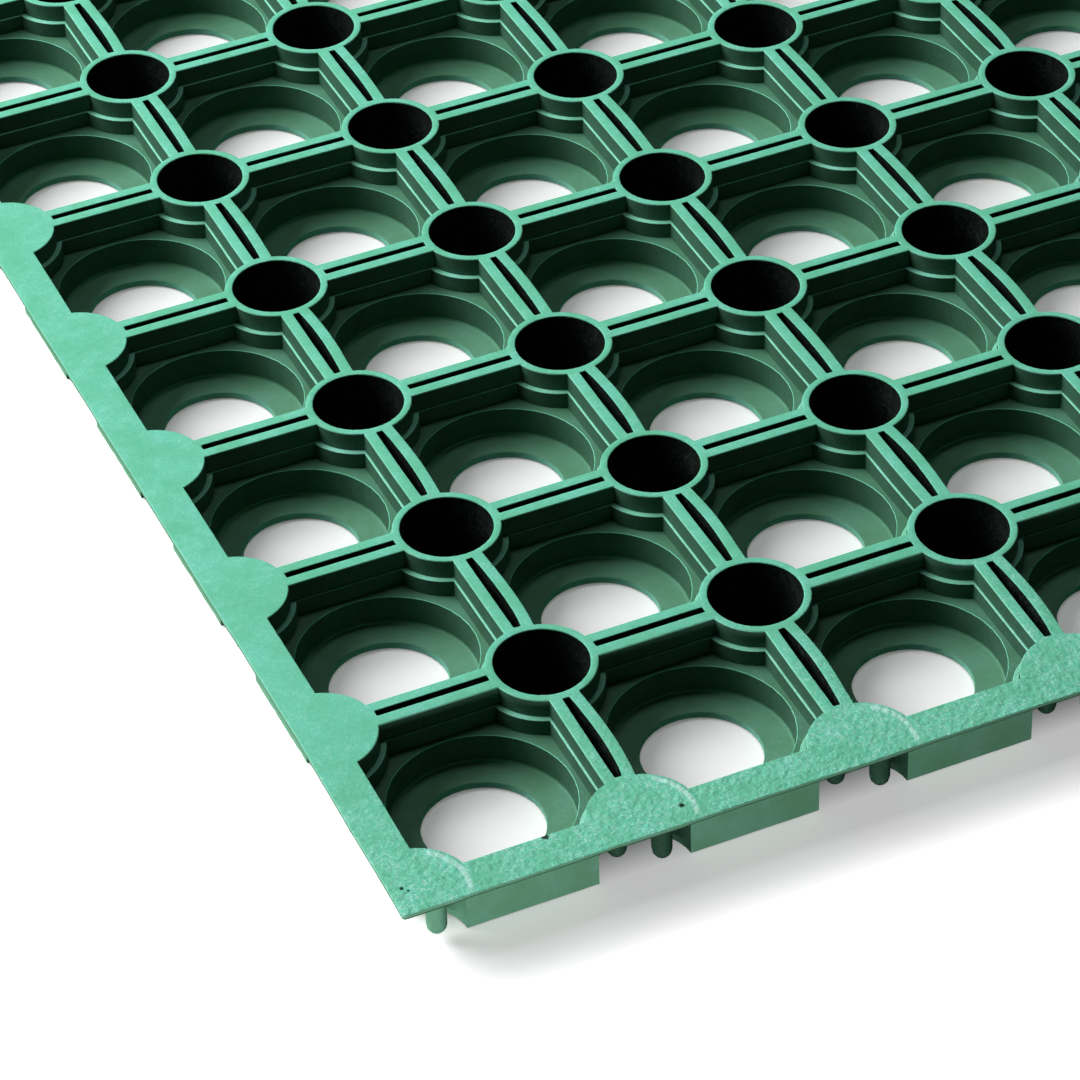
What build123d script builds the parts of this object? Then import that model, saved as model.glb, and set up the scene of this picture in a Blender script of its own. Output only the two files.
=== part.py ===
"""Rubber grass mat: one moulded sheet of open cups, joined at their corners by rings.

The mat lies flat on its feet, with its origin at the middle of its underside. X runs across the mat,
Y along it and Z up. A square grid of nodes carries a ring at each crossing. Between two rings runs a
double rib, two thin walls with a slot between them. Each square of the grid holds one cup that steps
in on its way down to a round drain hole. Round the outside runs a thin flat rim: it caps the outer
half rings, and short studs hang below the caps.
"""

import os

from build123d import *

# Grid
cells_across = 6
cells_along = 9
pitch = 64.5
thickness = 23.0

# Rings at the crossings of the grid
ring_bore = 26.6
ring_wall = 2.2

# Double ribs between the rings
rib_wall = 3.4
slot_width = 2.1
slot_depth = 15.0
slot_end_wall = 2.5

# Cups: depths are measured down from the top face
shelf_depth = 11.1
cup_bore = 51.2
cup_depth = 20.4
drain_bore = 33.8

# Rim and the studs under its caps
rim_overhang = 7.0
rim_thickness = 1.8
stud_across = 6.0
stud_length = 15.2
stud_taper = 1.0
stud_near_x = 5.2
stud_near_y = 0.8
stud_far_x = 5.5
stud_far_y = 6.1

# A grid repeats its round forms many times, so they are drawn with few sides
round_sides = 12
stud_sides = 6

# Clearance that a cutter has past the face it goes through
through = 1.0

# Derived sizes
ring_outer = ring_bore + 2 * ring_wall
rib_width = 2 * rib_wall + slot_width
slot_length = pitch - ring_bore - 2 * slot_end_wall
body_x = cells_across * pitch
body_y = cells_along * pitch
rim_bottom = thickness - rim_thickness


def round_prism(diameter, sides, bottom, top):
    """An upright prism that stands for a cylinder, with a flat side facing each way along X and Y."""
    outline = RegularPolygon(diameter / 2, sides, major_radius=False, rotation=180 / sides)
    return Pos(0, 0, bottom) * extrude(outline, top - bottom)


def sheet():
    """The solid sheet: the footed body as far as the outer grid lines, and the rim that overhangs it."""
    body = extrude(Rectangle(body_x, body_y), thickness)
    rim = extrude(Rectangle(body_x + 2 * rim_overhang, body_y + 2 * rim_overhang), rim_thickness)
    return body + Pos(0, 0, rim_bottom) * rim


def cup():
    """The hollow of one cell: a square with ring corners, then a round cup, then the drain hole."""
    corner = RegularPolygon(ring_outer / 2, round_sides, major_radius=False, rotation=180 / round_sides)
    mouth = Rectangle(pitch - rib_width, pitch - rib_width)
    mouth -= [node * corner for node in GridLocations(pitch, pitch, 2, 2)]
    top = thickness + through
    upper = Pos(0, 0, thickness - shelf_depth) * extrude(mouth, shelf_depth + through)
    lower = round_prism(cup_bore, round_sides, thickness - cup_depth, top - shelf_depth)
    drain = round_prism(drain_bore, round_sides, -through, top - cup_depth)
    return upper + (lower + drain)


def slots():
    """The slots that part each double rib, open at the top: the ribs along X, then those along Y."""
    depth = slot_depth + through
    along_x = Pos(0, 0, thickness - slot_depth) * extrude(Rectangle(slot_length, slot_width), depth)
    along_y = Rot(0, 0, 90) * along_x
    places_x = GridLocations(pitch, pitch, cells_across, cells_along - 1)
    places_y = GridLocations(pitch, pitch, cells_across - 1, cells_along)
    return [place * along_x for place in places_x] + [place * along_y for place in places_y]


def rim_nodes():
    """The places of the outer nodes, side by side: X along the rim, Y into the mat."""
    for turn, count, reach in (
        (0, cells_across, body_y),
        (90, cells_along, body_x),
        (180, cells_across, body_y),
        (270, cells_along, body_x),
    ):
        for step in range(count):
            along = (step - count / 2) * pitch
            yield step, Rot(0, 0, turn) * Pos(along, -reach / 2, 0)


def rim_studs():
    """The studs below each cap: two below a side cap, and only the near one below a corner cap."""
    outline = RegularPolygon(stud_across / 2, stud_sides, major_radius=False)
    stud = Pos(0, 0, rim_bottom) * extrude(outline, stud_length, dir=(0, 0, -1), taper=stud_taper)
    studs = []
    for step, place in rim_nodes():
        studs.append(place * Pos(stud_near_x, stud_near_y, 0) * stud)
        if step > 0:
            studs.append(place * Pos(-stud_far_x, stud_far_y, 0) * stud)
    return studs


def mat():
    """The whole moulding."""
    hollow = cup()
    cups = [place * hollow for place in GridLocations(pitch, pitch, cells_across, cells_along)]
    bore = round_prism(ring_bore, round_sides, -through, thickness + through)
    bores = [place * bore for place in GridLocations(pitch, pitch, cells_across - 1, cells_along - 1)]
    pocket = round_prism(ring_bore, round_sides, -through, rim_bottom)
    pockets = [place * pocket for _, place in rim_nodes()]
    return sheet() - (cups + bores + slots() + pockets) + rim_studs()


os.makedirs("parts", exist_ok=True)
export_step(mat(), "parts/mat.step")
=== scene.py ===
"""A rubber grass mat on a pale studio floor.

The mat is one moulding of green rubber: a square grid of open cups, joined at their corners by rings and
along their sides by slotted double ribs, inside a thin flat rim that overhangs the feet. Sizes in this file
are millimetres. Blender itself is given metres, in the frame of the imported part.
"""

import logging
import math
from dataclasses import dataclass, field
from enum import Enum

import bmesh
import bpy
import numpy as np
from mathutils import Matrix, Vector, noise
from mathutils.geometry import delaunay_2d_cdt

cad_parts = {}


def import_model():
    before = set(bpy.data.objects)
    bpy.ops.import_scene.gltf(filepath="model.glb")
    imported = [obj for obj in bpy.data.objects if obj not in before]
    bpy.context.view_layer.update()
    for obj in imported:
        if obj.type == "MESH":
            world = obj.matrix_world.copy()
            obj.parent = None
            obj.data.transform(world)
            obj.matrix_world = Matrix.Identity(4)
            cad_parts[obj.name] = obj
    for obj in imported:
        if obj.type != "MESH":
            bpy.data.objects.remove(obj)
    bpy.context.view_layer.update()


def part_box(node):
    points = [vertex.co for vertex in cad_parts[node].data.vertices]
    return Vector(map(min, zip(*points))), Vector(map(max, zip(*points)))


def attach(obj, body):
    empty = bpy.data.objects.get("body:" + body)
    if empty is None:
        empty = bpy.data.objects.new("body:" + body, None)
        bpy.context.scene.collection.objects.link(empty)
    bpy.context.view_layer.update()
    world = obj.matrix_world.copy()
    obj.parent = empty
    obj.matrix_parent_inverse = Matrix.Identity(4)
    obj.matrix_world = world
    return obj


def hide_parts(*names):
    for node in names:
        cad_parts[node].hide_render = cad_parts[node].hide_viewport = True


# A place in plan, the two values that something runs between, and two of Blender's types
Place = tuple[float, float]
Span = tuple[float, float]
Socket = bpy.types.NodeSocket
Tree = bpy.types.NodeTree

MM = 0.001
QUARTER = math.pi / 2
FILLET_MIDDLE = 1 - math.sin(math.pi / 4)

log = logging.getLogger("grass_mat")


class Run(Enum):
    """The two ways that a rib runs, by its quarter turns from X."""

    ACROSS = 0
    ALONG = 1


class Side(Enum):
    """The four sides of the rim, by their quarter turns from the front."""

    FRONT = 0
    RIGHT = 1
    BACK = 2
    LEFT = 3


class Section(Enum):
    """The two outlines that a cup has on its way down."""

    MOUTH = "a square with its corners cut by the rings"
    ROUND = "a circle"


class PaintedLight(Enum):
    """The painted tone of each surface: painted highlight, the open faces' own mint, then painted shade by
    depth.
    """

    # EDGE is painted highlight on rounded edges and ledges. FLOOR, SHELF, WALL and PIT are painted shade,
    # darker with depth.
    EDGE = 0.05
    OPEN = 0.15
    SIDE = 0.3
    FLOOR = 0.5
    SHELF = 0.6
    WALL = 0.7
    PIT = 0.9


class Plane(Enum):
    """The planes of one field of noise that the random shapes are cut from, by height."""

    RIM_EDGE = 0.0
    FOOT_WEAR = 3.0
    FLASH = 7.0
    RIPPLE = 40.0


def turned(points: np.ndarray, quarters: int) -> np.ndarray:
    """Turns plan points about the origin.

    Args:
        points: Plan points, one a row.
        quarters: Quarter turns, counterclockwise.

    Returns:
        The turned points.
    """
    cos, sin = round(math.cos(quarters * QUARTER)), round(math.sin(quarters * QUARTER))
    return points @ np.array([[cos, sin], [-sin, cos]], float)


def arc(middle: Place, radius: float, start: float, end: float, steps: int) -> np.ndarray:
    """Points along an arc, without its end point.

    Args:
        middle: The middle of the arc.
        radius: Its radius.
        start: Its first angle, in radians.
        end: Its last angle, in radians.
        steps: How many points it gets.

    Returns:
        The points, one a row.
    """
    angles = np.linspace(start, end, steps, endpoint=False)
    return np.column_stack([middle[0] + radius * np.cos(angles), middle[1] + radius * np.sin(angles)])


def straight(start: Place, end: Place, steps: int) -> np.ndarray:
    """Points along a straight line, without its end point.

    Args:
        start: The first point.
        end: The last point.
        steps: How many points it gets.

    Returns:
        The points, one a row.
    """
    return np.linspace(start, end, steps, endpoint=False)


def round_edge(radius: float, top: float) -> tuple[tuple[float, float], ...]:
    """The section of a rounded edge: how far each step lies from the wall below, and its height."""
    cut = radius * FILLET_MIDDLE
    return (radius, top), (cut, top - cut), (0.0, top - radius)


def smooth_step(low: float, high: float, value: np.ndarray) -> np.ndarray:
    """Rises smoothly from 0 at low to 1 at high."""
    share = np.clip((value - low) / (high - low), 0, 1)
    return share * share * (3 - 2 * share)


def random_waves(plan: np.ndarray, height: float, length: float) -> np.ndarray:
    """Smooth random values at plan points, the same in each run.

    Args:
        plan: The points, one a row.
        height: The height of the plane that the noise is taken from.
        length: The length of a wave.

    Returns:
        A value from about -1 to 1 for each point.
    """
    return np.array([noise.noise(Vector((x, y, height)) / length) for x, y in plan])


@dataclass
class MeshSketch:
    """Collects loops of points and the faces between them.

    Attributes:
        points: The points so far, in blocks of rows.
        flashes: How much each point stands on a line of moulding flash, in the same blocks.
        faces: The faces so far, as point numbers.
        shade_tones: The painted tone of each face, from painted highlight to painted shade.
        count: How many points there are.
    """

    points: list[np.ndarray] = field(default_factory=list)
    flashes: list[np.ndarray] = field(default_factory=list)
    faces: list[tuple[int, ...]] = field(default_factory=list)
    shade_tones: list[float] = field(default_factory=list)
    count: int = 0

    def add(
        self, plan: np.ndarray, height: float | np.ndarray, flash: float | np.ndarray = 0.0
    ) -> np.ndarray:
        """Adds points.

        Args:
            plan: Their places in plan, one a row.
            height: Their height, one for all or one each.
            flash: How much they stand on a line of flash, one for all or one each.

        Returns:
            The numbers of the new points.
        """
        size = len(plan)
        self.points.append(np.column_stack([plan, np.broadcast_to(height, size)]))
        self.flashes.append(np.broadcast_to(flash, size).astype(float))
        self.count += size
        return np.arange(self.count - size, self.count)

    def face(self, corners: tuple[int, ...], skin: PaintedLight) -> None:
        """Adds one face."""
        self.faces.append(corners)
        self.shade_tones.append(skin.value)

    def chain(self, loops: list[np.ndarray], shade_tones: list[PaintedLight | list[PaintedLight]]) -> None:
        """Joins closed loops of the same length, each with the next, by bands of quads.

        Args:
            loops: The loops, in order.
            shade_tones: The painted tone of the surface that leads on from each loop, or one for each of its
                points. The last loop needs none.
        """
        for upper, lower, skin in zip(loops, loops[1:], shade_tones):
            bands = (upper, lower, np.roll(lower, -1), np.roll(upper, -1))
            own = [skin] * len(upper) if isinstance(skin, PaintedLight) else skin
            for corners, surface in zip(zip(*(band.tolist() for band in bands)), own):
                self.face(corners, surface)

    def fill(self, loops: list[np.ndarray], loose: list[np.ndarray], skin: PaintedLight) -> None:
        """Fills a level face that has holes.

        Args:
            loops: Its outer loop and the loops of its holes.
            loose: Further points that lie on the face.
            skin: The painted tone of the surface that it is.
        """
        everything = np.concatenate(loops + loose)
        flat = [Vector(row[:2]) for row in np.concatenate(self.points)[everything]]
        bounds = np.cumsum([0] + [len(loop) for loop in loops]).tolist()
        outlines = [list(range(start, end)) for start, end in zip(bounds, bounds[1:])]
        corners, _, faces, came_from, _, inside = delaunay_2d_cdt(flat, [], outlines, 1, 1e-6, True)
        numbers = [int(everything[came_from[corner][0]]) for corner in range(len(corners))]
        for face, outlines_round_it in zip(faces, inside):
            if list(outlines_round_it) == [0]:
                self.face(tuple(numbers[corner] for corner in face), skin)

    def to_object(self, name: str, sharp_angle: float) -> bpy.types.Object:
        """Makes the mesh object, in metres.

        Args:
            name: Its name.
            sharp_angle: The angle in degrees past which an edge shows as sharp.

        Returns:
            The new object, linked to the scene.
        """
        mesh = bpy.data.meshes.new(name)
        mesh.from_pydata((np.concatenate(self.points) * MM).tolist(), [], self.faces)
        # Each face's painted tone, painted highlight or painted shade, is stored as a face attribute.
        for label, domain, values in (
            ("flash", "POINT", np.concatenate(self.flashes)),
            ("skin", "FACE", self.shade_tones),
        ):
            mesh.attributes.new(label, "FLOAT", domain).data.foreach_set("value", values)
        work = bmesh.new()
        work.from_mesh(mesh)
        bmesh.ops.recalc_face_normals(work, faces=work.faces)
        work.to_mesh(mesh)
        work.free()
        mesh.polygons.foreach_set("use_smooth", np.ones(len(mesh.polygons), bool))
        mesh.set_sharp_from_angle(angle=math.radians(sharp_angle))
        made = bpy.data.objects.new(name, mesh)
        bpy.context.scene.collection.objects.link(made)
        normals = made.modifiers.new("even_normals", "WEIGHTED_NORMAL")
        normals.keep_sharp = True
        return made


@dataclass(frozen=True)
class Grid:
    """The square grid that the mat is laid out on, with its middle at the origin.

    Attributes:
        pitch: Width of a cell.
        thickness: Height of the mat.
        across: Cells along X.
        along: Cells along Y.
        overhang: How far the rim reaches past the outer grid lines.
        crown: How far the top face lies below the highest flash on it.
    """

    pitch: float
    thickness: float
    across: int = 6
    along: int = 9
    overhang: float = 7.0
    crown: float = 0.3

    @property
    def top(self) -> float:
        """Height of the top face."""
        return self.thickness - self.crown

    @property
    def half(self) -> np.ndarray:
        """Half the way between the outer grid lines, along X and Y."""
        return np.array([self.across, self.along]) * self.pitch / 2

    def places(self, columns: int, rows: int) -> list[Place]:
        """The middles of a centred field of that many columns and rows.

        Args:
            columns: How many places lie along X.
            rows: How many places lie along Y.

        Returns:
            The places in plan.
        """
        return [
            ((column - (columns - 1) / 2) * self.pitch, (row - (rows - 1) / 2) * self.pitch)
            for column in range(columns)
            for row in range(rows)
        ]


@dataclass(frozen=True)
class Ring:
    """The ring at a crossing of the grid: its bore, its wall and its rounded edges."""

    grid: Grid
    bore_radius: float = 13.3
    wall: float = 2.2
    edge: float = 0.45
    foot_edge: float = 0.2
    draft: float = 1.6
    steps: int = 36

    @property
    def outer_radius(self) -> float:
        """Radius of the ring's outside."""
        return self.bore_radius + self.wall

    def build(self, sketch: MeshSketch, middle: Place) -> tuple[np.ndarray, np.ndarray]:
        """Adds the bore of one ring.

        Args:
            sketch: Where it goes.
            middle: The crossing.

        Returns:
            The loops at the top and at the underside.
        """
        loops = [
            sketch.add(arc(middle, self.bore_radius + grow, 0, 4 * QUARTER, self.steps), height)
            for grow, height in (
                *round_edge(self.edge, self.grid.top),
                (-self.draft, self.foot_edge),
                (self.foot_edge - self.draft, 0.0),
            )
        ]
        # The bore is painted near black, as painted shade.
        sketch.chain(loops, [PaintedLight.OPEN, PaintedLight.OPEN, PaintedLight.PIT, PaintedLight.PIT])
        return loops[0], loops[-1]


@dataclass(frozen=True)
class Rib:
    """The double rib between two rings: two thin walls with a slot between them."""

    grid: Grid
    ring: Ring
    width: float = 8.9
    slot_width: float = 2.1
    slot_depth: float = 14.0
    end_wall: float = 2.5
    edge: float = 0.3
    corner: float = 0.4
    side_steps: int = 10
    corner_steps: int = 2

    def outline(self, length: float, width: float) -> np.ndarray:
        """The outline of a slot along X, with round corners.

        Args:
            length: Its whole length.
            width: Its width.

        Returns:
            The points of the outline.
        """
        reach, half = length / 2 - self.corner, width / 2
        bend = half - self.corner
        far_half = np.concatenate([
            arc((reach, bend), self.corner, 0, QUARTER, self.corner_steps),
            straight((reach, half), (-reach, half), self.side_steps),
            arc((-reach, bend), self.corner, QUARTER, 2 * QUARTER, self.corner_steps),
            straight((-reach - self.corner, bend), (-reach - self.corner, -bend), 1),
        ])
        return np.concatenate([far_half, turned(far_half, 2)])

    def build(self, sketch: MeshSketch, middle: Place, run: Run) -> np.ndarray:
        """Adds the slot of one rib.

        Args:
            sketch: Where it goes.
            middle: The middle of the rib.
            run: The way that the rib runs.

        Returns:
            The loop at the top.
        """
        length = self.grid.pitch - 2 * self.ring.bore_radius - 2 * self.end_wall
        loops = []
        for grow, height in (
            *round_edge(self.edge, self.grid.top),
            (0.0, self.grid.top - self.slot_depth),
        ):
            plan = self.outline(length + 2 * grow, self.slot_width + 2 * grow)
            loops.append(sketch.add(turned(plan, run.value) + middle, height))
        # The slot is painted near black, as painted shade.
        sketch.chain(loops, [PaintedLight.OPEN, PaintedLight.OPEN, PaintedLight.PIT])
        sketch.face(tuple(loops[-1].tolist()), PaintedLight.PIT)
        return loops[0]


@dataclass(frozen=True)
class Cup:
    """The hollow of one cell: its mouth, a ledge, a shelf, the round cup and the drain hole.

    Depths are measured down from the top face. Each step has a small round edge.
    """

    grid: Grid
    ring: Ring
    rib: Rib
    mouth_edge: float = 0.45
    draft: float = 0.15
    ledge_depth: float = 5.9
    ledge_width: float = 0.6
    ring_ledge: float = 1.0
    shelf_depth: float = 11.1
    step_edge: float = 0.16
    radius: float = 25.6
    foot_fillet: float = 0.8
    floor_depth: float = 20.4
    drain_radius: float = 16.9
    foot_edge: float = 0.2
    side_steps: int = 7
    corner_steps: int = 8

    def mouth(self, inset: float) -> np.ndarray:
        """The outline of the mouth.

        From the ledge on down, it keeps further from the rings than from the ribs.

        Args:
            inset: How far the outline is drawn in.

        Returns:
            The points of the outline, about the middle of the cell.
        """
        node = self.grid.pitch / 2
        past = min(max(inset - self.draft, 0) / (self.ledge_width - self.step_edge), 1)
        radius = self.ring.outer_radius + inset + self.ring_ledge * past
        lean = math.asin((self.rib.width / 2 + inset) / radius)
        side = node - self.rib.width / 2 - inset
        end = node - radius * math.cos(lean)
        quarter = np.concatenate([
            straight((side, -end), (side, end), self.side_steps),
            arc((node, node), radius, 3 * QUARTER - lean, 2 * QUARTER + lean, self.corner_steps),
        ])
        return np.concatenate([turned(quarter, turn) for turn in range(4)])

    def profile(self) -> list[tuple[Section, float, float, PaintedLight]]:
        """The cup's section from the top face to the underside.

        Returns:
            The outline, its inset or radius, its depth and the painted tone of its surface, step by step.
        """
        lip, edge, fillet = self.mouth_edge, self.step_edge, self.foot_fillet
        ledge = self.draft + self.ledge_width
        foot, hollow = self.radius - self.draft, fillet * FILLET_MIDDLE
        return [
            # The lip, the ledge, the shelf's edge and the drain's edge are painted highlights; the walls,
            # shelf and cup floor are painted shade, darker than the open face.
            (Section.MOUTH, -lip, 0.0, PaintedLight.OPEN),
            (Section.MOUTH, -lip * FILLET_MIDDLE, lip * FILLET_MIDDLE, PaintedLight.EDGE),
            (Section.MOUTH, 0.0, lip, PaintedLight.WALL),
            (Section.MOUTH, self.draft, self.ledge_depth, PaintedLight.EDGE),
            (Section.MOUTH, ledge - edge, self.ledge_depth, PaintedLight.EDGE),
            (Section.MOUTH, ledge, self.ledge_depth + edge, PaintedLight.WALL),
            (Section.MOUTH, ledge + self.draft, self.shelf_depth, PaintedLight.SHELF),
            (Section.ROUND, self.radius + edge, self.shelf_depth, PaintedLight.OPEN),
            (Section.ROUND, self.radius, self.shelf_depth + edge, PaintedLight.WALL),
            (Section.ROUND, foot, self.floor_depth - fillet, PaintedLight.FLOOR),
            (Section.ROUND, foot - hollow, self.floor_depth - hollow, PaintedLight.FLOOR),
            (Section.ROUND, foot - fillet, self.floor_depth, PaintedLight.FLOOR),
            (Section.ROUND, self.drain_radius + edge, self.floor_depth, PaintedLight.FLOOR),
            (Section.ROUND, self.drain_radius, self.floor_depth + edge, PaintedLight.EDGE),
            # The drain wall is painted lighter than the other walls, as painted light from the floor below.
            (Section.ROUND, self.drain_radius, self.grid.top - self.foot_edge, PaintedLight.SIDE),
            (Section.ROUND, self.drain_radius + self.foot_edge, self.grid.top, PaintedLight.WALL),
        ]

    def build(self, sketch: MeshSketch, middle: Place) -> tuple[np.ndarray, np.ndarray]:
        """Adds one cup.

        Args:
            sketch: Where it goes.
            middle: The middle of its cell.

        Returns:
            The loops at the top and at the underside.
        """
        rim = self.mouth(0.0)
        spokes = rim / np.linalg.norm(rim, axis=1, keepdims=True)
        loops, shade_tones = [], []
        for section, size, depth, skin in self.profile():
            plan = self.mouth(size) if section is Section.MOUTH else spokes * size
            loops.append(sketch.add(plan + middle, self.grid.top - depth))
            shade_tones.append(skin)
        sketch.chain(loops, shade_tones)
        return loops[0], loops[-1]


@dataclass(frozen=True)
class Stud:
    """A round-ended stud that hangs below a cap of the rim."""

    radius: float = 3.0
    end_radius: float = 2.8
    length: float = 15.2
    near: Place = (5.2, 0.8)
    far: Place = (-5.5, 6.1)
    steps: int = 12
    dome_steps: int = 4

    def build(self, sketch: MeshSketch, root: float, middle: np.ndarray, skin: PaintedLight) -> np.ndarray:
        """Adds one stud.

        Args:
            sketch: Where it goes.
            root: The height of its root.
            middle: Its place in plan.
            skin: Its painted tone: painted shade, or the sides' tone at the corner.

        Returns:
            The loop at its root.
        """
        shoulder = root - self.length + self.end_radius
        profile = [(self.radius, root)]
        for step in range(self.dome_steps):
            tilt = QUARTER * step / self.dome_steps
            profile.append((self.end_radius * math.cos(tilt), shoulder - self.end_radius * math.sin(tilt)))
        loops = [
            sketch.add(arc(tuple(middle), radius, 0, 4 * QUARTER, self.steps), height)
            for radius, height in profile
        ]
        sketch.chain(loops, [skin] * len(loops))
        sketch.face(tuple(loops[-1].tolist()), skin)
        return loops[0]


@dataclass(frozen=True)
class Rim:
    """The thin flat rim, the feet that it overhangs, and the pockets below its caps.

    Attributes:
        grid: The grid that it goes round.
        ring: The rings whose bores the pockets continue.
        stud: The studs below the caps.
        sheet: Its thickness.
        edge: Radius of its rounded edges.
        shade_line: Height of the line of painted shade along the foot of its edge.
        corner: Radius of its corners.
        wander: How far its edge wanders in, over each wander_length.
        point_spacing: The spacing of the points along it.
        foot_wear: How far the lower edge of a foot is worn up, over each foot_wear_length.
        foot_edge: The bevel below that.
        flash_width: Width of a line of flash.
        flash_inset: How far its middle lies inside the outline of a ring.
        flash_reach: The angles where it begins and ends, in radians.
        flash_length: How long its ragged peaks are.
    """

    grid: Grid
    ring: Ring
    stud: Stud
    sheet: float = 1.8
    edge: float = 0.3
    shade_line: float = 0.35
    corner: float = 1.0
    wander: float = 0.45
    wander_length: float = 19.0
    point_spacing: float = 2.4
    corner_steps: int = 5
    foot_steps: int = 24
    foot_wear: float = 0.8
    foot_wear_length: float = 3.1
    foot_edge: float = 0.25
    pocket_steps: int = 8
    flash_width: float = 2.4
    flash_inset: float = 1.8
    flash_reach: Span = (0.95, -0.22)
    flash_length: float = 1.7
    flash_steps: int = 22

    def outline(self, inset: float) -> np.ndarray:
        """The outer edge of the rim, a little wavy as the real one is.

        Args:
            inset: How far the outline is drawn in.

        Returns:
            The points of the outline.
        """
        half = self.grid.half + self.grid.overhang
        blocks = []
        for side in Side:
            wide, deep = half if side in (Side.FRONT, Side.BACK) else half[::-1]
            steps = round(2 * (wide - self.corner) / self.point_spacing)
            bend = wide - self.corner, self.corner - deep
            blocks.append(turned(np.concatenate([
                straight((-bend[0], -deep), (bend[0], -deep), steps),
                arc(bend, self.corner, -QUARTER, 0, self.corner_steps),
            ]), side.value))
        points = np.concatenate(blocks)
        waves = random_waves(points, Plane.RIM_EDGE.value, self.wander_length)
        draw_in = inset + self.wander * (0.5 + 0.5 * np.clip(waves, -1, 1))
        return points * (1 - draw_in[:, None] / half)

    def body(self) -> tuple[np.ndarray, list[PaintedLight]]:
        """The outline of the feet: flat faces on the outer grid lines, with a pocket at each outer node.

        Returns:
            The points of the outline, and the painted tone of the surface that leads on from each.
        """
        blocks, shade_tones = [], []
        for side in Side:
            for step, node in self.nodes(side):
                quarters = 1 if step == 0 else 2
                local = [
                    arc(node, self.ring.bore_radius, quarters * QUARTER, 0, quarters * self.pocket_steps),
                    straight(
                        (node[0] + self.ring.bore_radius, node[1]),
                        (node[0] + self.grid.pitch - self.ring.bore_radius, node[1]),
                        self.foot_steps,
                    ),
                ]
                blocks.append(turned(np.concatenate(local), side.value))
                # Pockets below the caps are painted shade, except at the corner, which keeps the sides'
                # tone.
                shade_tones += [PaintedLight.SIDE if step == 0 else PaintedLight.WALL] * len(local[0])
                shade_tones += [PaintedLight.SIDE] * len(local[1])
        return np.concatenate(blocks), shade_tones

    def nodes(self, side: Side) -> list[tuple[int, Place]]:
        """The outer nodes of one side, before the side is turned to its place.

        Args:
            side: The side.

        Returns:
            The number of each node along the side, and its place.
        """
        wide, deep, pitch = self.grid.across, self.grid.along, self.grid.pitch
        if side in (Side.LEFT, Side.RIGHT):
            wide, deep = deep, wide
        return [(step, ((step - wide / 2) * pitch, -(deep * pitch / 2))) for step in range(wide)]

    def flash(self, sketch: MeshSketch) -> list[np.ndarray]:
        """Adds the raised line of flash along the right shoulder of each cap of the front and back.

        Args:
            sketch: Where it goes.

        Returns:
            The new points, which lie on the top face.
        """
        found = []
        for side in (Side.FRONT, Side.BACK):
            for _, node in self.nodes(side):
                for line, lift in ((-0.5, 0.0), (0.0, 1.0), (0.5, 0.0)):
                    radius = self.ring.outer_radius - self.flash_inset + line * self.flash_width
                    plan = turned(arc(node, radius, *self.flash_reach, self.flash_steps), side.value)
                    ragged = 0.5 + 0.5 * random_waves(plan, Plane.FLASH.value, self.flash_length)
                    height = self.grid.top + self.grid.crown * lift * np.clip(ragged, 0, 1)
                    found.append(sketch.add(plan, height, lift))
        return found

    def build(self, sketch: MeshSketch) -> tuple[np.ndarray, np.ndarray, list[np.ndarray]]:
        """Adds the rim, its underside with the studs, and the outer faces of the feet.

        Args:
            sketch: Where they go.

        Returns:
            The rim's loop on the top face, the feet's loop at the underside, and the points of the flash.
        """
        under = self.grid.top - self.sheet
        rim_loops = [
            sketch.add(self.outline(inset), height)
            for inset, height in (
                *round_edge(self.edge, self.grid.top),
                (0.0, under + self.edge + self.shade_line),
                (0.0, under + self.edge),
                (self.edge, under),
            )
        ]
        # The rim's rounded edge is a painted highlight; the line along the foot of its edge and its lower
        # edge are painted shade.
        sketch.chain(rim_loops, [PaintedLight.OPEN, PaintedLight.EDGE, PaintedLight.SIDE, PaintedLight.WALL, PaintedLight.WALL])
        body, shade_tones = self.body()
        wear = random_waves(body, Plane.FOOT_WEAR.value, self.foot_wear_length)
        worn = self.foot_wear * np.clip(wear, 0, 1)
        foot_loops = [
            sketch.add(body, under),
            sketch.add(body, self.foot_edge + worn),
            sketch.add(body * (1 - self.foot_edge / self.grid.half), 0.0),
        ]
        sketch.chain(foot_loops, [shade_tones, shade_tones])
        stud, roots = self.stud, []
        for side in Side:
            for step, node in self.nodes(side):
                corner = step == 0
                for offset in (stud.near,) if corner else (stud.near, stud.far):
                    middle = turned(np.array([np.add(node, offset)]), side.value)[0]
                    # Studs below the caps are painted shade, except at the corner, which keeps the sides'
                    # tone.
                    roots.append(stud.build(sketch, under, middle, PaintedLight.SIDE if corner else PaintedLight.WALL))
        # The underside between the feet and the studs is painted shade.
        sketch.fill([rim_loops[-1], foot_loops[0], *roots], [], PaintedLight.WALL)
        return rim_loops[0], foot_loops[-1], self.flash(sketch)


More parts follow.
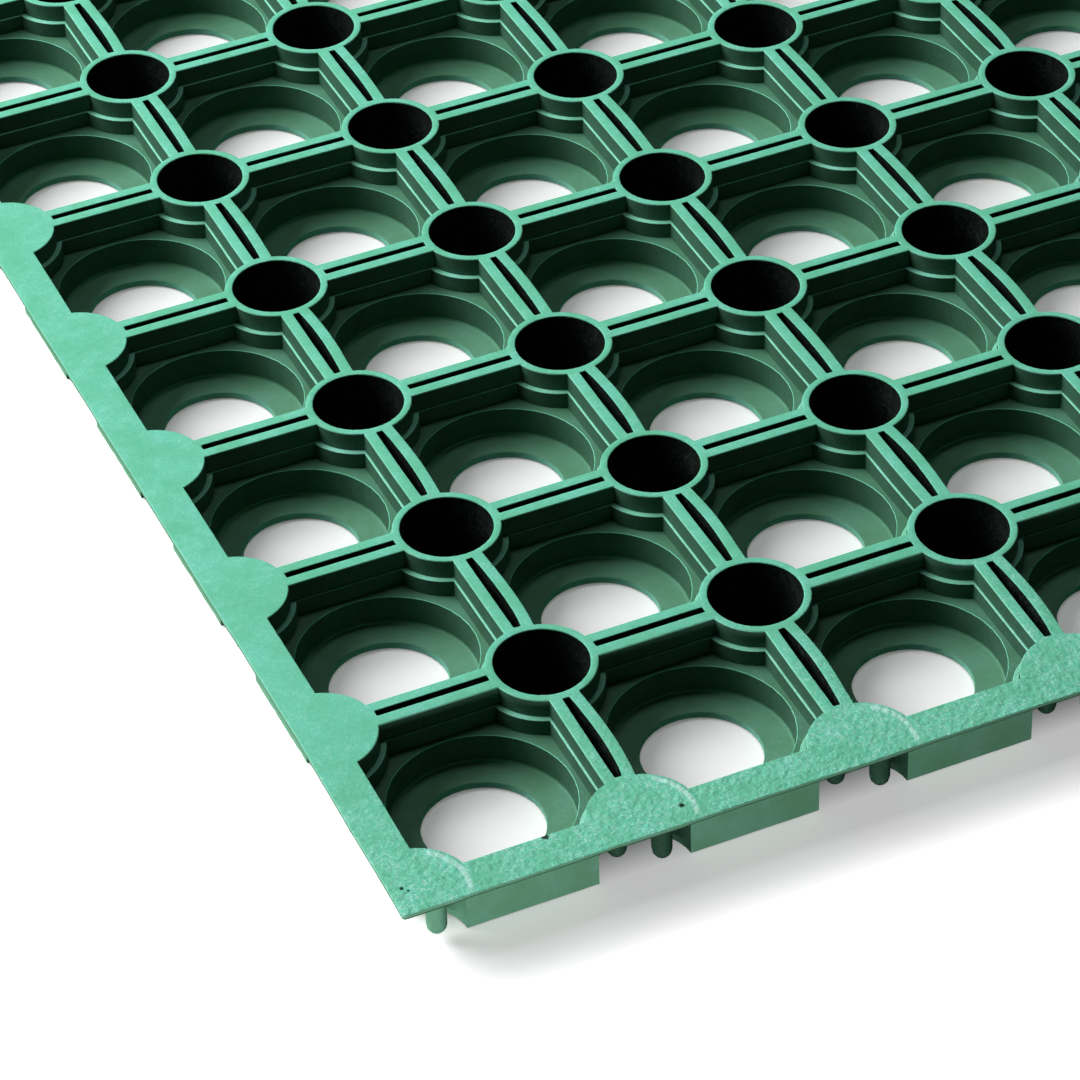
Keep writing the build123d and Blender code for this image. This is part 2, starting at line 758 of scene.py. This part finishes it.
@dataclass(frozen=True)
class Flex:
    """The small bends that soft rubber keeps.

    The ribs along Y bow, so that their slots gape, and the front row sags towards the rim. Its feet give way
    to that, and its studs keep their length.

    Attributes:
        grid: The grid that the mat is laid out on.
        seed: The seed of the random draws.
        bow: The least and the most that a rib bows at the front.
        back_share: How much of that is left at the back.
        skew: The least and the most that a bow leans towards one end.
        fullness: The power of a bow's sine. The lower it is, the fuller the bow.
        left_share: How far the left wall of a rib gives way, as a share of the bow of its right wall.
        parting: Half the width over which the one wall's push turns to the other's.
        window: Where along a cell a bow begins and ends, as shares of the pitch.
        fade: The depths where a bow has died out, and where it is in full.
        front_sag: How far the front grid line sags.
        stud_reach: How far the studs below a cap reach from its node.
        ripple: How far the upper part of the mat is out of true, over each ripple_length.
    """

    grid: Grid
    seed: int = 11
    bow: Span = (0.6, 1.3)
    back_share: float = 0.4
    skew: Span = (0.8, 1.25)
    fullness: float = 0.8
    left_share: float = 0.1
    parting: float = 0.6
    window: Span = (0.25, 0.75)
    fade: Span = (13.0, 1.0)
    front_sag: float = 3.6
    stud_reach: float = 12.0
    ripple: float = 0.12
    ripple_length: float = 23.0

    def bend(self, points: np.ndarray) -> np.ndarray:
        """Bends the whole mat a little.

        Args:
            points: The mat's points, one a row.

        Returns:
            The bent points.
        """
        draw = np.random.default_rng(self.seed)
        bows = draw.uniform(*self.bow, (self.grid.across + 1, self.grid.along))
        bows *= np.linspace(1, self.back_share, self.grid.along)
        skews = draw.uniform(*self.skew, (self.grid.across + 1, self.grid.along))
        x, y, z = points.T
        column = np.rint(x / self.grid.pitch + self.grid.across / 2)
        offset = x - (column - self.grid.across / 2) * self.grid.pitch
        along = y / self.grid.pitch + self.grid.along / 2
        row = np.clip(np.floor(along), 0, self.grid.along - 1)
        inner = (column >= 1) & (column <= self.grid.across - 1)
        cell = np.clip(column, 0, self.grid.across).astype(int), row.astype(int)
        share = np.clip((along - row - self.window[0]) / (self.window[1] - self.window[0]), 0, 1)
        swell = bows[cell] * np.sin(math.pi * share ** skews[cell]) ** self.fullness
        depth_fade = smooth_step(*(self.grid.top - depth for depth in self.fade), z)
        right = smooth_step(-self.parting, self.parting, offset)
        push = inner * depth_fade * swell * (right - self.left_share * (1 - right))
        bent = points.copy()
        bent[:, 0] += push
        held = smooth_step(0.0, self.grid.top / 2, z)
        for axis in (0, 1):
            waves = random_waves(points[:, :2], axis * Plane.RIPPLE.value, self.ripple_length)
            bent[:, axis] += self.ripple * waves * held
        front = -self.grid.half[1]
        sag = self.front_sag * np.clip((front + self.grid.pitch - y) / self.grid.pitch, 0, None)
        hanging = np.hypot(offset, y - front) < self.stud_reach
        bent[:, 2] -= sag * np.where(hanging, 1, z / self.grid.top)
        return bent


@dataclass(frozen=True)
class Mat:
    """The whole moulding.

    Attributes:
        grid: The grid that it is laid out on.
        sharp_angle: The angle in degrees past which an edge shows as sharp.
    """

    grid: Grid
    sharp_angle: float = 38.0

    def build(self, name: str) -> bpy.types.Object:
        """Makes the mat as one closed mesh.

        Args:
            name: The name of the object.

        Returns:
            The new object.
        """
        grid = self.grid
        ring = Ring(grid)
        rib = Rib(grid, ring)
        cup = Cup(grid, ring, rib)
        sketch = MeshSketch()
        rim_top, feet, flash = Rim(grid, ring, Stud()).build(sketch)
        top, underside = [rim_top], [feet]
        for hollow, columns, rows in (
            (cup, grid.across, grid.along),
            (ring, grid.across - 1, grid.along - 1),
        ):
            for middle in grid.places(columns, rows):
                upper, lower = hollow.build(sketch, middle)
                top.append(upper)
                underside.append(lower)
        for run, columns, rows in (
            (Run.ACROSS, grid.across, grid.along - 1),
            (Run.ALONG, grid.across - 1, grid.along),
        ):
            for middle in grid.places(columns, rows):
                top.append(rib.build(sketch, middle, run))
        sketch.fill(top, flash, PaintedLight.OPEN)
        sketch.fill(underside, [], PaintedLight.SIDE)
        sketch.points = [Flex(grid).bend(np.concatenate(sketch.points))]
        return sketch.to_object(name, self.sharp_angle)


def linear(hex_colour: str) -> tuple[float, float, float, float]:
    """Turns an sRGB hex colour to a linear one.

    Args:
        hex_colour: Six hex digits after a hash sign.

    Returns:
        Red, green, blue and an alpha of 1.
    """
    parts = [int(hex_colour[place:place + 2], 16) / 255 for place in (1, 3, 5)]
    red, green, blue = (
        part / 12.92 if part <= 0.04045 else ((part + 0.055) / 1.055) ** 2.4 for part in parts
    )
    return red, green, blue, 1.0


def add_node(
    tree: Tree, kind: str, inputs: dict | tuple = (), **settings: object
) -> bpy.types.Node:
    """Adds a shader node.

    Args:
        tree: The tree that it goes in.
        kind: Its type.
        inputs: The values that its sockets are set to or the outputs linked to them: those of its first
            sockets in order, or by the name or number of each.
        settings: Properties of the node.

    Returns:
        The new node.
    """
    made = tree.nodes.new(kind)
    for name, value in settings.items():
        setattr(made, name, value)
    for socket, value in inputs.items() if isinstance(inputs, dict) else enumerate(inputs):
        if isinstance(value, Socket):
            tree.links.new(value, made.inputs[socket])
        else:
            made.inputs[socket].default_value = value
    return made


@dataclass(frozen=True)
class Nick:
    """A dark nick in the rubber, by its place from the front left node and its radius."""

    x: float
    y: float
    radius: float


@dataclass(frozen=True)
class RubberFields:
    """What the finish of the rubber is worked out from at each place.

    Attributes:
        place: The place on the mat, in metres.
        skin: The painted tone of the surface, from painted highlight to painted shade.
        flash: How much the place stands on a line of flash.
        front: 0 inside the mat, 1 at its front.
        open_share: 1 on the open faces, and little on the sides and on the surfaces with painted shade.
        cloud: Broad clouds.
        swirl: Distorted swirls.
        lump: Small lumps.
        grain: Fine grain.
    """

    place: Socket
    skin: Socket
    flash: Socket
    front: Socket
    open_share: Socket
    cloud: Socket
    swirl: Socket
    lump: Socket
    grain: Socket


@dataclass(frozen=True)
class MouldedRubber:
    """Green rubber, press moulded in a blasted steel mould.

    The open faces are matt mint and clouded, with pale swirling fibres. Towards the front they are lumpy.
    Walls, shelves, cup floors and bores carry painted shade, and edges painted highlights. Flash is torn, so
    it is pale. A few nicks are dark.

    Attributes:
        grid: The grid that the mat is laid out on.
        tones: The colour of each surface, with painted highlights on the edges and painted shade in the
            hollows.
        fibre: The colour of the fibres and the flash.
        nick: The colour of the nicks.
        nicks: The nicks along the front rim.
        nick_edge: Where a nick begins and where it is in full, in its radii.
        cloud_size: Size of the clouds.
        cloud_span: The noise where a cloud is darkest, and where it is lightest.
        cloud_range: What the colour is multiplied by at those two.
        fibre_size: Size of the swirls that the fibres follow.
        fibre_width: How far from the middle of a swirl a fibre ends, and where it is in full.
        fibre_cloud: How strongly the fibres show in the darkest cloud, and in the lightest.
        fibre_break: The grain where a fibre is broken off, and where it is whole.
        fibre_share: How strongly the fibres show far from the front, and at it.
        fibre_cover: How strongly they show on an open face, and on the sides and the surfaces with painted
            shade.
        flash_ridge: The share of flash where its ridge begins, and where it is in full.
        flash_tear: The swirl where the ridge is least torn, and where it is most torn.
        flash_share: How pale the ridge is at those two.
        rough_reach: How far from the front grid line the rough face begins, and where it is in full.
        lump_size: Size of the lumps at the front.
        lump_height: Their height, as a multiple of the grain's.
        grain_size: Size of the fine grain.
        grain_depth: Its depth.
        grain_span: The noise at the bottom of the grain, and at its top.
        roughness: How matt the rubber is at those two.
        ior: Its refractive index.
        sheen_level: The strength of its mirror light.
    """

    grid: Grid
    name: str = "moulded_green_rubber"
    tones: tuple[tuple[PaintedLight, str], ...] = (
        # EDGE is painted highlight; FLOOR, SHELF, WALL and PIT are painted shade, darker with depth, PIT
        # near black.
        (PaintedLight.EDGE, "#8CE2C9"),
        (PaintedLight.OPEN, "#72D5B7"),
        (PaintedLight.SIDE, "#86CAA8"),
        (PaintedLight.FLOOR, "#629B80"),
        (PaintedLight.SHELF, "#548A71"),
        (PaintedLight.WALL, "#3C6552"),
        (PaintedLight.PIT, "#050A08"),
    )
    fibre: str = "#BCF2E4"
    nick: str = "#14352A"
    nicks: tuple[Nick, ...] = (
        Nick(37.8, 4.0, 1.3),
        Nick(74.9, -0.7, 0.9),
        Nick(-3.2, 2.4, 0.8),
        Nick(-2.0, 1.0, 0.5),
    )
    nick_edge: Span = (1.5, 1.1)
    cloud_size: float = 9.0
    cloud_span: Span = (0.35, 0.65)
    cloud_range: tuple[str, str] = ("#EEF2E4", "#FFFFFF")
    fibre_size: float = 3.8
    fibre_width: Span = (0.07, 0.01)
    fibre_cloud: Span = (0.25, 1.0)
    fibre_break: Span = (0.4, 0.56)
    fibre_share: Span = (0.35, 0.95)
    fibre_cover: Span = (1.0, 0.12)
    flash_ridge: Span = (0.15, 0.6)
    flash_tear: Span = (0.4, 0.52)
    flash_share: Span = (0.45, 1.0)
    rough_reach: Span = (60.0, 5.0)
    lump_size: float = 1.9
    lump_height: float = 6.0
    grain_size: float = 0.45
    grain_depth: float = 0.15
    grain_span: Span = (0.3, 0.7)
    roughness: Span = (0.47, 0.63)
    ior: float = 1.52
    sheen_level: float = 0.22

    def fields(self, tree: Tree) -> RubberFields:
        """Adds what the finish is worked out from.

        Args:
            tree: The material's tree.

        Returns:
            The fields.
        """
        place = add_node(tree, "ShaderNodeTexCoord").outputs["Object"]
        skin, flash = (
            add_node(tree, "ShaderNodeAttribute", attribute_name=name).outputs["Fac"]
            for name in ("skin", "flash")
        )
        reach = ((distance - self.grid.half[1]) * MM for distance in self.rough_reach)
        along = add_node(tree, "ShaderNodeSeparateXYZ", (place,)).outputs[1]
        front = add_node(tree, "ShaderNodeMapRange", (along, *reach)).outputs[0]
        # Fibres, nicks and lumps show fully on the open faces, and little on the sides and on the painted
        # shade.
        surfaces = PaintedLight.OPEN.value, PaintedLight.SIDE.value
        open_share = add_node(tree, "ShaderNodeMapRange", (skin, *surfaces, *self.fibre_cover)).outputs[0]
        cloud, swirl, lump, grain = (
            add_node(tree, "ShaderNodeTexNoise", {
                "Vector": place, "Scale": 1 / (size * MM), **kind,
            }).outputs["Fac"]
            for size, kind in (
                (self.cloud_size, {"Detail": 3.0, "Roughness": 0.6}),
                (self.fibre_size, {"Detail": 3.0, "Distortion": 2.2}),
                (self.lump_size, {"Detail": 1.0}),
                (self.grain_size, {"Detail": 2.0}),
            )
        )
        return RubberFields(place, skin, flash, front, open_share, cloud, swirl, lump, grain)

    def tone(self, tree: Tree, fields: RubberFields) -> Socket:
        """The colour of each surface, with its painted highlight or painted shade, clouded.

        Args:
            tree: The material's tree.
            fields: What it is worked out from.

        Returns:
            The colour.
        """
        ramp = add_node(tree, "ShaderNodeValToRGB", (fields.skin,))
        ramp.color_ramp.interpolation = "CONSTANT"
        stops = ramp.color_ramp.elements
        stops.remove(stops[-1])
        for surface, tone in self.tones:
            stop = stops[0] if surface is PaintedLight.EDGE else stops.new(surface.value - PaintedLight.EDGE.value)
            stop.color = linear(tone)
        dark, light = (linear(tint) for tint in self.cloud_range)
        patch = add_node(tree, "ShaderNodeMapRange", (fields.cloud, *self.cloud_span)).outputs[0]
        shade = add_node(tree, "ShaderNodeMix", {0: patch, 6: dark, 7: light}, data_type="RGBA").outputs[2]
        return add_node(tree, "ShaderNodeMix", {
            0: 1.0, 6: ramp.outputs[0], 7: shade,
        }, data_type="RGBA", blend_type="MULTIPLY").outputs[2]

    def fibres(self, tree: Tree, fields: RubberFields) -> Socket:
        """Short swirling fibres, denser where the clouds are light, and the torn ridge of the flash.

        Args:
            tree: The material's tree.
            fields: What they are worked out from.

        Returns:
            0 between the fibres, up to 1 on them and on the ridge.
        """
        off = add_node(tree, "ShaderNodeMath", (fields.swirl, 0.5), operation="SUBTRACT").outputs[0]
        off = add_node(tree, "ShaderNodeMath", (off,), operation="ABSOLUTE").outputs[0]
        found, patch, piece, share, ridge, torn = (
            add_node(tree, "ShaderNodeMapRange", inputs).outputs[0]
            for inputs in (
                (off, *self.fibre_width),
                (fields.cloud, *self.cloud_span, *self.fibre_cloud),
                (fields.grain, *self.fibre_break),
                (fields.front, 0.0, 1.0, *self.fibre_share),
                (fields.flash, *self.flash_ridge),
                (fields.swirl, *self.flash_tear, *self.flash_share),
            )
        )
        for factor in (patch, piece, share, fields.open_share):
            found = add_node(tree, "ShaderNodeMath", (found, factor), operation="MULTIPLY").outputs[0]
        torn = add_node(tree, "ShaderNodeMath", (torn, ridge), operation="MULTIPLY").outputs[0]
        return add_node(tree, "ShaderNodeMath", (found, torn), operation="MAXIMUM").outputs[0]

    def spots(self, tree: Tree, fields: RubberFields) -> Socket:
        """The nicks along the front rim.

        Args:
            tree: The material's tree.
            fields: What they are worked out from. The swirls make them ragged.

        Returns:
            1 in a nick on an open face, 0 outside the nicks.
        """
        level = (1.0, 1.0, 0.0)
        plan = add_node(tree, "ShaderNodeVectorMath", (fields.place, level), operation="MULTIPLY").outputs[0]
        corner = Vector((*-self.grid.half, 0))
        found = 0.0
        for nick in self.nicks:
            middle = (corner + Vector((nick.x, nick.y, 0))) * MM
            away = add_node(tree, "ShaderNodeVectorMath", (plan, middle), operation="DISTANCE").outputs[1]
            ragged = add_node(tree, "ShaderNodeMath", (
                fields.swirl, nick.radius * MM, away,
            ), operation="MULTIPLY_ADD").outputs[0]
            edge = (share * nick.radius * MM for share in self.nick_edge)
            dark = add_node(tree, "ShaderNodeMapRange", (ragged, *edge)).outputs[0]
            found = add_node(tree, "ShaderNodeMath", (found, dark), operation="MAXIMUM").outputs[0]
        return add_node(tree, "ShaderNodeMath", (found, fields.open_share), operation="MULTIPLY").outputs[0]

    def relief(self, tree: Tree, fields: RubberFields) -> Socket:
        """The grain, and the lumps of the open faces at the front.

        Args:
            tree: The material's tree.
            fields: What they are worked out from.

        Returns:
            The bumped normal.
        """
        lump = fields.lump
        for factor in (fields.front, fields.open_share):
            lump = add_node(tree, "ShaderNodeMath", (lump, factor), operation="MULTIPLY").outputs[0]
        height = add_node(tree, "ShaderNodeMath", (
            lump, self.lump_height, fields.grain,
        ), operation="MULTIPLY_ADD").outputs[0]
        return add_node(tree, "ShaderNodeBump", {
            "Height": height, "Strength": 0.5, "Distance": self.grain_depth * MM,
        }).outputs[0]

    def build(self) -> bpy.types.Material:
        """Makes the material.

        Returns:
            The new material.
        """
        made = bpy.data.materials.new(self.name)
        made.use_nodes = True
        tree = made.node_tree
        tree.nodes.clear()
        fields = self.fields(tree)
        colour = self.tone(tree, fields)
        for share, over in (
            (self.fibres(tree, fields), self.fibre),
            (self.spots(tree, fields), self.nick),
        ):
            colour = add_node(tree, "ShaderNodeMix", {
                0: share, 6: colour, 7: linear(over),
            }, data_type="RGBA").outputs[2]
        matt = add_node(tree, "ShaderNodeMapRange", (
            fields.grain, *self.grain_span, *self.roughness,
        )).outputs[0]
        shader = add_node(tree, "ShaderNodeBsdfPrincipled", {
            "Base Color": colour, "Roughness": matt, "IOR": self.ior,
            "Specular IOR Level": self.sheen_level, "Normal": self.relief(tree, fields),
        }).outputs[0]
        add_node(tree, "ShaderNodeOutputMaterial", {"Surface": shader})
        return made


@dataclass(frozen=True)
class StudioFloor:
    """A matt floor board. The camera sees it white and lifted a little, and it throws little light back.

    Attributes:
        tone: The colour that the camera sees.
        bounce: The colour that the light meets.
        lift: How far the camera sees it lifted towards white, below the mat and round it. Below the mat it
            is lifted less, as painted shade under it.
        lift_edge: How far inside the outer grid lines the one turns to the other.
        reach: Half its width.
        drop: How far it lies below the feet.
    """

    name: str = "white_floor_board"
    tone: str = "#FFFFFF"
    bounce: str = "#666666"
    lift: Span = (0.17, 0.48)
    lift_edge: float = 10.0
    reach: float = 4000.0
    drop: float = 0.3

    def build(self, grid: Grid) -> bpy.types.Object:
        """Makes the floor.

        Args:
            grid: The grid of the mat that lies on it.

        Returns:
            The new object.
        """
        made = bpy.data.materials.new(self.name)
        made.use_nodes = True
        tree = made.node_tree
        tree.nodes.clear()
        seen = add_node(tree, "ShaderNodeLightPath").outputs["Is Camera Ray"]
        place = add_node(tree, "ShaderNodeTexCoord").outputs["Object"]
        half = Vector((*grid.half, 0)) * MM
        off = add_node(tree, "ShaderNodeVectorMath", (place,), operation="ABSOLUTE").outputs[0]
        off = add_node(tree, "ShaderNodeVectorMath", (off, half), operation="SUBTRACT").outputs[0]
        sides = add_node(tree, "ShaderNodeSeparateXYZ", (off,)).outputs
        past = add_node(tree, "ShaderNodeMath", (sides[0], sides[1]), operation="MAXIMUM").outputs[0]
        # Less lift inside the mat's outline: painted shade on the floor under the mat.
        lift = add_node(tree, "ShaderNodeMapRange", (past, -self.lift_edge * MM, 0.0, *self.lift)).outputs[0]
        glow = add_node(tree, "ShaderNodeMath", (seen, lift), operation="MULTIPLY").outputs[0]
        colour = add_node(tree, "ShaderNodeMix", {
            0: seen, 6: linear(self.bounce), 7: linear(self.tone),
        }, data_type="RGBA").outputs[2]
        shader = add_node(tree, "ShaderNodeBsdfPrincipled", {
            "Base Color": colour, "Roughness": 0.9, "Specular IOR Level": 0.1,
            "Emission Color": (1.0, 1.0, 1.0, 1.0), "Emission Strength": glow,
        }).outputs[0]
        add_node(tree, "ShaderNodeOutputMaterial", {"Surface": shader})
        size = self.reach * MM
        mesh = bpy.data.meshes.new("floor")
        corners = [(-size, -size, 0), (size, -size, 0), (size, size, 0), (-size, size, 0)]
        mesh.from_pydata(corners, [], [(0, 1, 2, 3)])
        mesh.materials.append(made)
        floor = bpy.data.objects.new("floor", mesh)
        floor.location.z = -self.drop * MM
        bpy.context.scene.collection.objects.link(floor)
        return floor


@dataclass(frozen=True)
class Softbox:
    """A studio lamp that faces the mat."""

    name: str
    direction: tuple[float, float, float]
    distance: float
    width: float
    height: float
    watts: float

    def build(self) -> bpy.types.Object:
        """Makes the lamp.

        Returns:
            The new object.
        """
        lamp = bpy.data.lights.new(self.name, "AREA")
        lamp.shape = "RECTANGLE"
        lamp.size, lamp.size_y = self.width * MM, self.height * MM
        lamp.energy = self.watts
        made = bpy.data.objects.new(self.name, lamp)
        towards = Vector(self.direction).normalized()
        made.location = towards * self.distance * MM
        made.rotation_euler = towards.to_track_quat("Z", "Y").to_euler()
        made.visible_camera = False
        bpy.context.scene.collection.objects.link(made)
        return made


@dataclass(frozen=True)
class Studio:
    """The floor, the lamps, the dim surroundings and the camera.

    Attributes:
        grid: The grid of the mat.
        floor: The floor that it lies on.
        lamps: The lamps round it.
        surround: How bright the surroundings are.
        eye: The camera's place in cells from the front left node, on the top face.
        azimuth: The way that the camera looks, in degrees from Y towards X.
        elevation: How far it looks down, in degrees.
        roll: How far it is turned about its own axis, in degrees.
        focal: Its focal length, in pixels of the picture.
        picture: Width of the picture, in pixels.
        sensor: Width of its sensor.
    """

    grid: Grid
    floor: StudioFloor = StudioFloor()
    lamps: tuple[Softbox, ...] = (
        Softbox("key", (-0.70, 0.55, 0.72), 2200.0, 1500.0, 1200.0, 70.0),
        Softbox("overhead", (0.0, 0.12, 1.0), 2200.0, 1400.0, 400.0, 5.0),
        Softbox("front_strip", (-0.60, -1.0, 0.0175), 700.0, 400.0, 16.0, 0.74),
    )
    surround: float = 0.01
    eye: tuple[float, float, float] = (-4.511, -11.965, 12.060)
    azimuth: float = 23.075
    elevation: float = 39.02
    roll: float = -2.10
    focal: float = 4426.9
    picture: float = 1080.0
    sensor: float = 36.0

    def camera(self) -> bpy.types.Object:
        """Makes the camera.

        Returns:
            The new object.
        """
        lens = bpy.data.cameras.new("camera")
        lens.sensor_width = self.sensor
        lens.lens = self.focal / self.picture * self.sensor
        made = bpy.data.objects.new("camera", lens)
        corner = Vector((*-self.grid.half, 0))
        spot = (corner + Vector(self.eye) * self.grid.pitch + Vector((0, 0, self.grid.thickness))) * MM
        aim = Matrix.Rotation(math.radians(-self.azimuth), 4, "Z")
        aim @= Matrix.Rotation(QUARTER - math.radians(self.elevation), 4, "X")
        aim @= Matrix.Rotation(math.radians(self.roll), 4, "Z")
        made.matrix_world = Matrix.Translation(spot) @ aim
        bpy.context.scene.collection.objects.link(made)
        return made

    def build(self) -> None:
        """Sets up the studio."""
        scene = bpy.context.scene
        scene.view_settings.view_transform = "Standard"
        self.floor.build(self.grid)
        for lamp in self.lamps:
            lamp.build()
        world = bpy.data.worlds.new("studio")
        world.use_nodes = True
        tree = world.node_tree
        tree.nodes.clear()
        seen = add_node(tree, "ShaderNodeLightPath").outputs["Is Camera Ray"]
        level = add_node(tree, "ShaderNodeMapRange", (seen, 0.0, 1.0, self.surround, 1.0)).outputs[0]
        glow = add_node(tree, "ShaderNodeBackground", {"Strength": level}).outputs[0]
        add_node(tree, "ShaderNodeOutputWorld", {"Surface": glow})
        scene.world = world
        scene.camera = self.camera()


def grid_from_frame() -> Grid:
    """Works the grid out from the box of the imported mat.

    Returns:
        The grid.
    """
    low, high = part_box("mat")
    width, height = (high.x - low.x) / MM, (high.z - low.z) / MM
    return Grid((width - 2 * Grid.overhang) / Grid.across, height)


def main() -> None:
    """Loads the frame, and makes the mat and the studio."""
    logging.basicConfig(level=logging.INFO, format="%(name)s: %(message)s")
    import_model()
    grid = grid_from_frame()
    mat = Mat(grid).build("grass_mat")
    mat.data.materials.append(MouldedRubber(grid).build())
    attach(mat, "root")
    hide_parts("mat")
    mat.data.calc_loop_triangles()
    log.info("%s: %d triangles, pitch %.2f mm", mat.name, len(mat.data.loop_triangles), grid.pitch)
    Studio(grid).build()
    bpy.context.view_layer.update()


if __name__ == "__main__":
    main()
